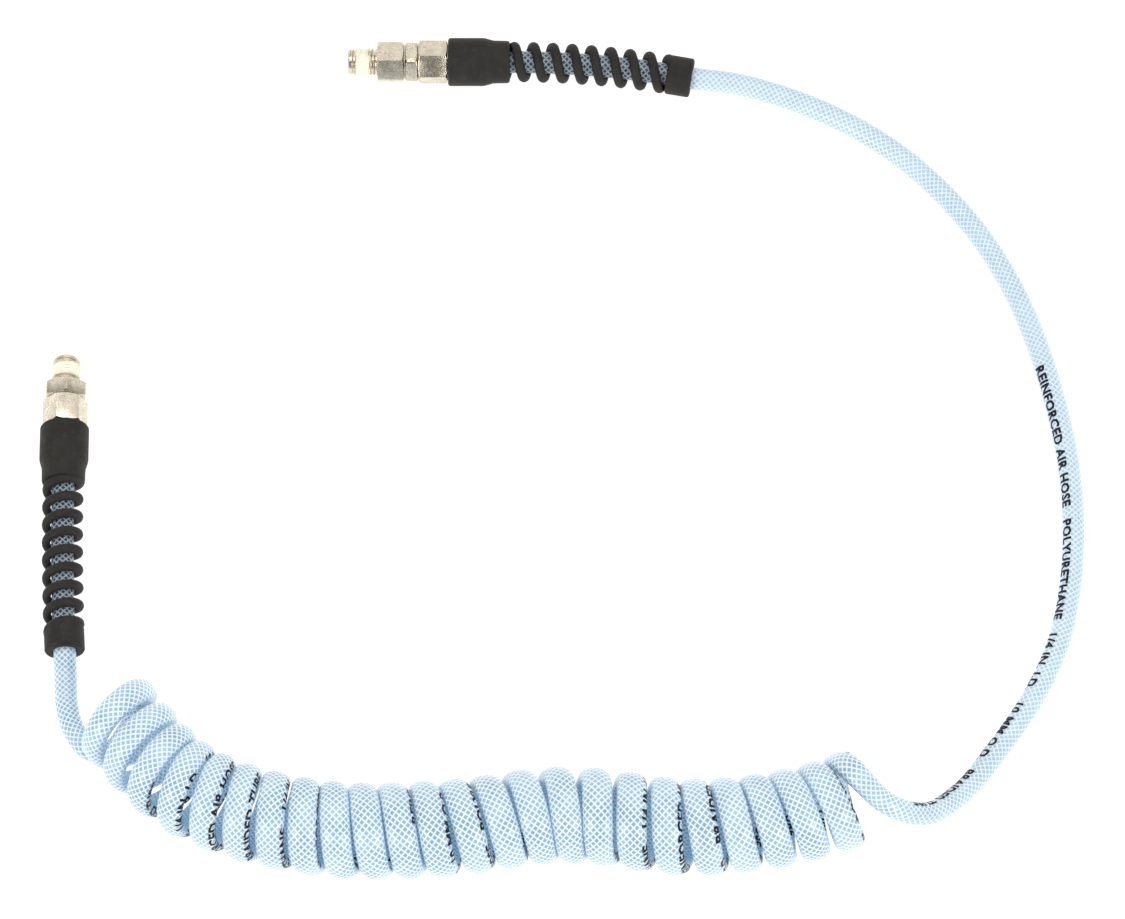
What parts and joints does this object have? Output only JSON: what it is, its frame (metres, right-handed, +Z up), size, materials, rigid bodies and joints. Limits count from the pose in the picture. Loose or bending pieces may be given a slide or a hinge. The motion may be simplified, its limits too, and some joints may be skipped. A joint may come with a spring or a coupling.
{
  "type": "coiled air hose assembly",
  "caption": "Self-coiling braided clear-blue air hose lying in a C, with a swivel and a rigid male pipe-thread fitting, each with a black rubber bend guard",
  "frame": {"origin": "bottom centre of the box round the two end fittings with their guards, on the surface that the hose lies on", "axes": "+Z up from that surface; +Y points out of the rigid fitting's thread; the swivel fitting's thread points along -X, so its axis is parallel to X; the coil lies along the -Y side"},
  "size_m": [0.4628, 0.4239, 0.0425],
  "materials": {
    "nickel_plated_brass": "nickel plated, satin turned faces",
    "spring_steel": "plain",
    "guard_rubber": "matte moulded",
    "sealant": "dry film",
    "washer_plastic": "plain",
    "hose_blue": "clear pale blue over a white braid"
  },
  "bodies": {
    "hose": {"swivel_snap_ring": "spring_steel", "swivel_thrust_washer": "washer_plastic", "swivel_body": "nickel_plated_brass", "swivel_nut": "nickel_plated_brass", "swivel_ferrule": "nickel_plated_brass", "swivel_hose_end": "hose_blue", "swivel_guard": "guard_rubber", "fixed_body": "nickel_plated_brass", "fixed_thread_sealant": "sealant", "fixed_nut": "nickel_plated_brass", "fixed_ferrule": "nickel_plated_brass", "fixed_hose_end": "hose_blue", "fixed_guard": "guard_rubber", "hose_long_lead": "hose_blue", "hose_coil": "hose_blue", "hose_short_lead": "hose_blue"},
    "stem": {"swivel_stem": "nickel_plated_brass", "swivel_thread_sealant": "sealant", "swivel_o_ring": "guard_rubber"}
  },
  "joints": [
    {"name": "swivel_spin", "type": "hinge", "parent": "hose", "child": "stem", "pos_m": [-0.0111, 0.144, 0.0109], "axis": [1, 0, 0], "continuous": true}
  ]
}
